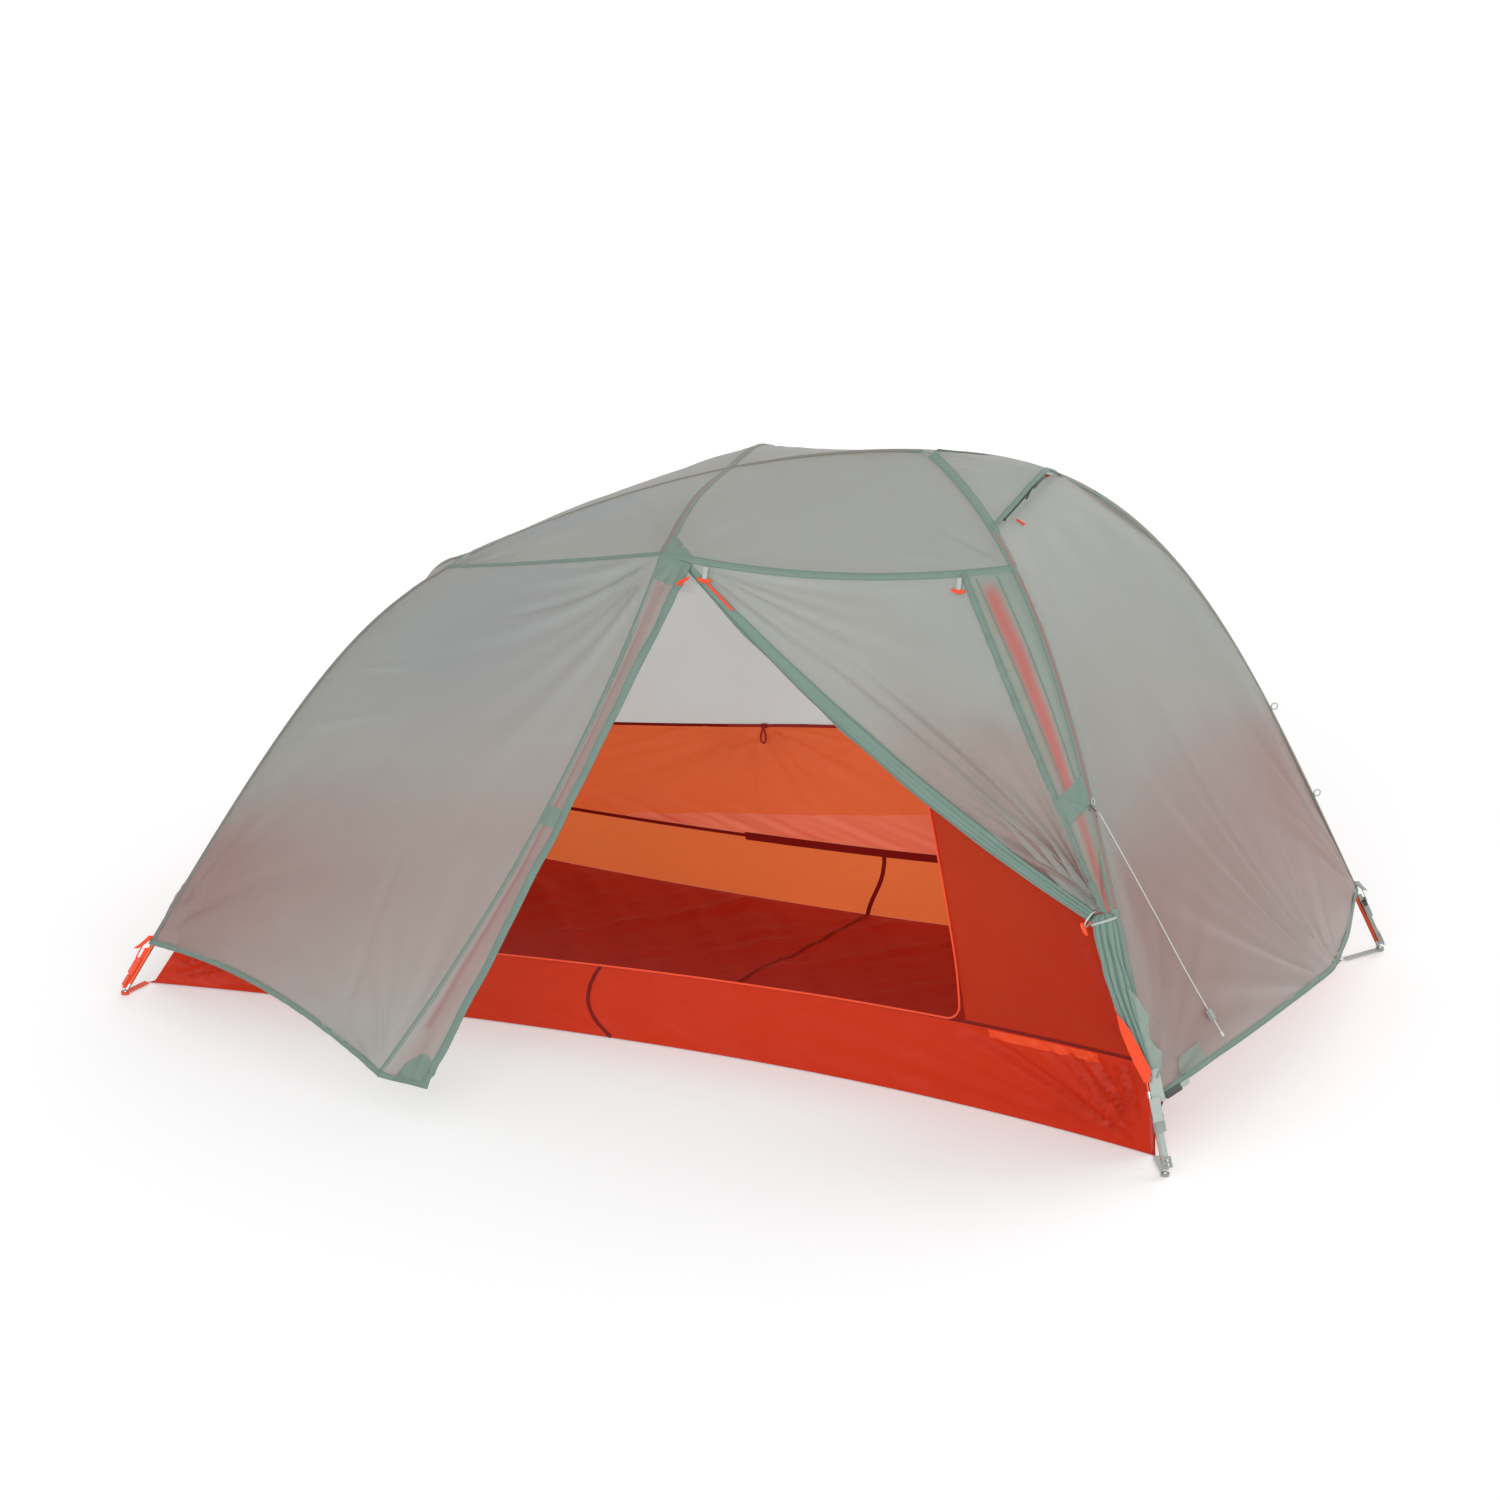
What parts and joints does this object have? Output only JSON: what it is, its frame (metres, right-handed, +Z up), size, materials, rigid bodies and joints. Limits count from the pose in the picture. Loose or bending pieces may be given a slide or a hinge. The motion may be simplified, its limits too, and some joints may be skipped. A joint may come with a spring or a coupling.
{
  "type": "tent on poles",
  "caption": "Dome tent on elastic poles: hung inner tent with open doorway, rain fly with two vestibules, one tied back, vent hood, corner buckles and guyline.",
  "frame": {"origin": "on the ground, under the middle of the bathtub floor", "axes": "+X to the head end, -Y to the front door that is tied back, +Z up"},
  "size_m": [2.4892, 1.8776, 1.2395],
  "materials": {
    "fly_cloth": "ripstop nylon, silicone treated",
    "inner_cloth": "light woven nylon",
    "inner_pale_cloth": "breathable woven nylon",
    "floor_cloth": "coated ripstop nylon",
    "pole_alloy": "anodised orange",
    "hub_plastic": "moulded",
    "ferrule_alloy": "satin",
    "shock_cord": "elastic cord",
    "buckle_plastic": "moulded acetal",
    "grey_webbing": "woven webbing",
    "toggle_plastic": "moulded",
    "elastic": "braided elastic",
    "piping": "zip tape and piping",
    "zip_metal": "painted",
    "pull_tape": "folded tape",
    "stay_plastic": "stiffener sleeve",
    "guyline_cord": "braided cord",
    "lok_plastic": "moulded",
    "grommet_metal": "dark satin"
  },
  "bodies": {
    "root": {"head_leg_pole_front": "pole_alloy", "head_leg_pole_rear": "pole_alloy", "foot_leg_pole_front": "pole_alloy", "foot_leg_pole_rear": "pole_alloy", "ridge_pole": "pole_alloy", "brow_pole": "pole_alloy", "pole_ferrules": "ferrule_alloy", "pole_shock_cords": "shock_cord", "head_hub": "hub_plastic", "foot_hub": "hub_plastic", "fly_roof_front": "fly_cloth", "fly_roof_rear": "fly_cloth", "fly_foot_roof_front": "fly_cloth", "fly_foot_roof_rear": "fly_cloth", "fly_head_end": "fly_cloth", "fly_foot_end": "fly_cloth", "fly_vent_hood": "fly_cloth", "vestibule_front_panel": "fly_cloth", "vestibule_rear_panel": "fly_cloth", "vestibule_front_strip": "fly_cloth", "vestibule_front_door": "fly_cloth", "vestibule_front_door_gathers": "fly_cloth", "vestibule_rear_door": "fly_cloth", "bathtub_floor": "floor_cloth", "inner_front_panel_foot": "inner_cloth", "inner_front_panel_head": "inner_cloth", "inner_front_panel_top": "inner_pale_cloth", "inner_rear_wall_upper": "inner_pale_cloth", "inner_rear_wall_lower": "inner_cloth", "inner_roof_foot": "inner_pale_cloth", "inner_roof_head": "inner_pale_cloth", "inner_foot_wall": "inner_cloth", "inner_head_wall": "inner_cloth", "pole_clips": "hub_plastic", "brow_saddle": "hub_plastic", "corner_buckle_sockets": "buckle_plastic", "corner_locks_and_cups": "buckle_plastic", "corner_webbing": "grey_webbing", "door_tie_loop": "elastic", "inner_front_door_roll": "inner_cloth", "rear_door_zip": "piping", "doorway_piping": "piping", "guy_out_loops": "grey_webbing", "guyline": "guyline_cord", "vestibule_front_flap": "fly_cloth", "vestibule_rear_flap": "fly_cloth", "stake_grommets": "grommet_metal"},
    "vent_stay": {"vent_stay": "stay_plastic"},
    "corner_buckle_head_front": {"corner_buckle_head_front": "buckle_plastic"},
    "corner_buckle_head_rear": {"corner_buckle_head_rear": "buckle_plastic"},
    "corner_buckle_foot_front": {"corner_buckle_foot_front": "buckle_plastic"},
    "corner_buckle_foot_rear": {"corner_buckle_foot_rear": "buckle_plastic"},
    "door_toggle_left": {"door_toggle_left": "toggle_plastic"},
    "door_toggle_right": {"door_toggle_right": "toggle_plastic"},
    "door_tie_toggle": {"door_tie_toggle": "toggle_plastic"},
    "rear_door_slider": {"rear_door_slider": "zip_metal"},
    "rear_door_pull": {"rear_door_pull": "pull_tape"},
    "fly_door_pull": {"fly_door_pull": "pull_tape"},
    "line_lok": {"line_lok": "lok_plastic"}
  },
  "joints": [
    {"name": "vent_stay_fold", "type": "hinge", "parent": "root", "child": "vent_stay", "pos_m": [0.6372, 0, 1.22419], "axis": [0, 1, 0], "range_deg": [0, 70]},
    {"name": "corner_buckle_head_front_release", "type": "slide", "parent": "root", "child": "corner_buckle_head_front", "axis": [-0.3158, 0.2614, 0.9121], "range_m": [0, 0.02]},
    {"name": "corner_buckle_head_rear_release", "type": "slide", "parent": "root", "child": "corner_buckle_head_rear", "axis": [-0.3158, -0.2614, 0.9121], "range_m": [0, 0.02]},
    {"name": "corner_buckle_foot_front_release", "type": "slide", "parent": "root", "child": "corner_buckle_foot_front", "axis": [0.378, 0.415, 0.8276], "range_m": [0, 0.02]},
    {"name": "corner_buckle_foot_rear_release", "type": "slide", "parent": "root", "child": "corner_buckle_foot_rear", "axis": [0.378, -0.415, 0.8276], "range_m": [0, 0.02]},
    {"name": "door_toggle_left_swing", "type": "hinge", "parent": "root", "child": "door_toggle_left", "pos_m": [0.04097, -0.34675, 1.05457], "axis": [1, 0, 0], "range_deg": [-60, 0]},
    {"name": "door_toggle_right_swing", "type": "hinge", "parent": "root", "child": "door_toggle_right", "pos_m": [0.57569, -0.28145, 1.08628], "axis": [1, 0, 0], "range_deg": [-60, 0]},
    {"name": "door_tie_toggle_swing", "type": "hinge", "parent": "root", "child": "door_tie_toggle", "pos_m": [0.96155, -0.56621, 0.48274], "axis": [1, 0, 0], "range_deg": [-50, 0]},
    {"name": "rear_door_slider_run", "type": "slide", "parent": "root", "child": "rear_door_slider", "axis": [0.9912, 0.0153, 0.1317], "range_m": [-0.036, 0.283]},
    {"name": "rear_door_pull_swing", "type": "hinge", "parent": "rear_door_slider", "child": "rear_door_pull", "pos_m": [-0.11496, 0.35948, 0.41738], "axis": [1, 0, 0], "range_deg": [-70, 0]},
    {"name": "fly_door_pull_swing", "type": "hinge", "parent": "root", "child": "fly_door_pull", "pos_m": [-0.00464, -0.36009, 1.04076], "axis": [1, 0, 0], "range_deg": [-60, 0]},
    {"name": "line_lok_slide", "type": "slide", "parent": "root", "child": "line_lok", "axis": [-0.5214, -0.0613, 0.8511], "range_m": [-0.028, 0.012]}
  ]
}
